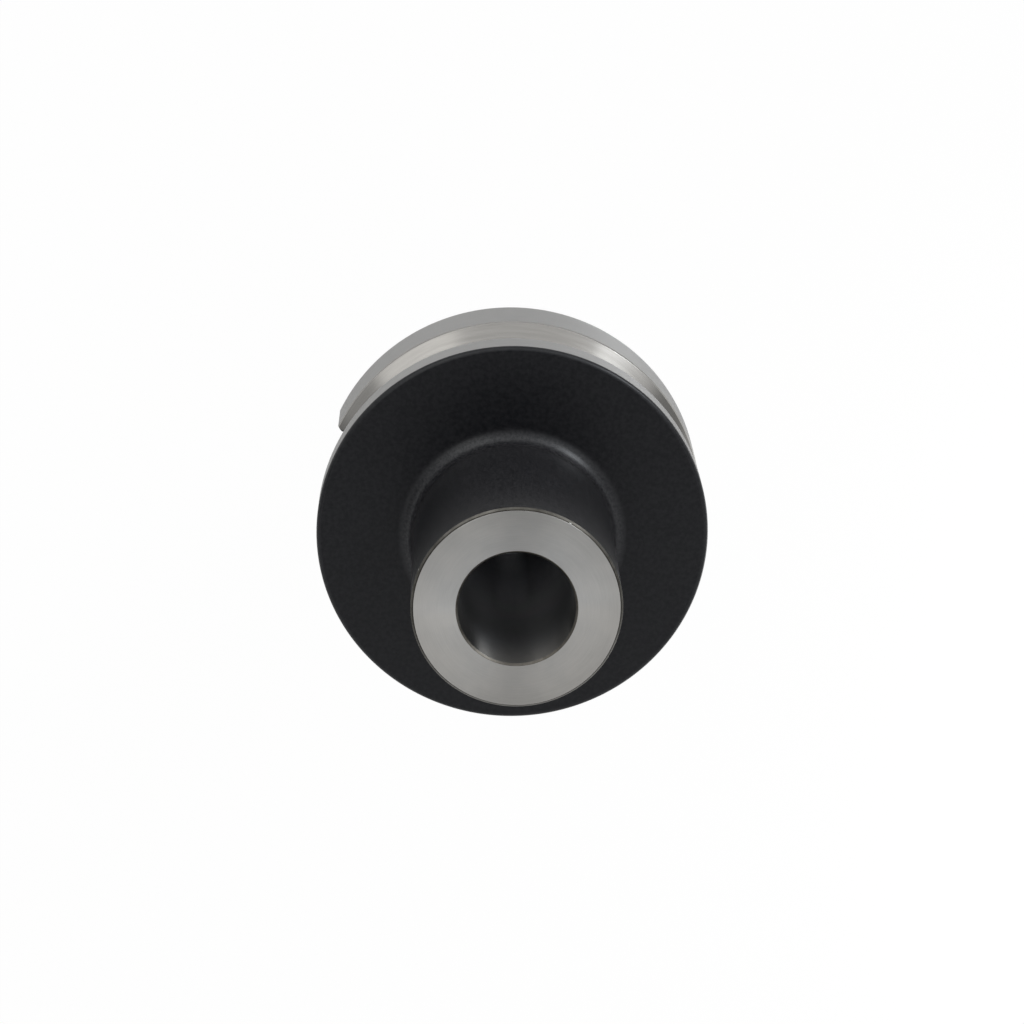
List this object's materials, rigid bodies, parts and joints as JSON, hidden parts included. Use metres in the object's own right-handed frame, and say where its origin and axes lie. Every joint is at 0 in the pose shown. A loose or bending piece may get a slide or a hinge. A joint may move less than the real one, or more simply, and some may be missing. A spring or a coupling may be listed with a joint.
{
  "type": "morse taper adapter",
  "caption": "Steel tool holder with a steep taper shank, a grooved gripper flange with drive slots, and a round nose with a Morse taper socket.",
  "frame": {"origin": "centre of the gauge plane, where the steep taper measures 44.45 mm across, on the axis", "axes": "+Z along the axis towards the nose, +X through the middle of one drive slot, +Y along the drift slot"},
  "size_m": [0.063, 0.063, 0.1254],
  "materials": {
    "steel": "ground bright on the taper, flange rim, V-groove and nose face, black oxide on the flange face, nose side and slots"
  },
  "bodies": {
    "root": {"adapter_body": "steel"}
  },
  "joints": []
}
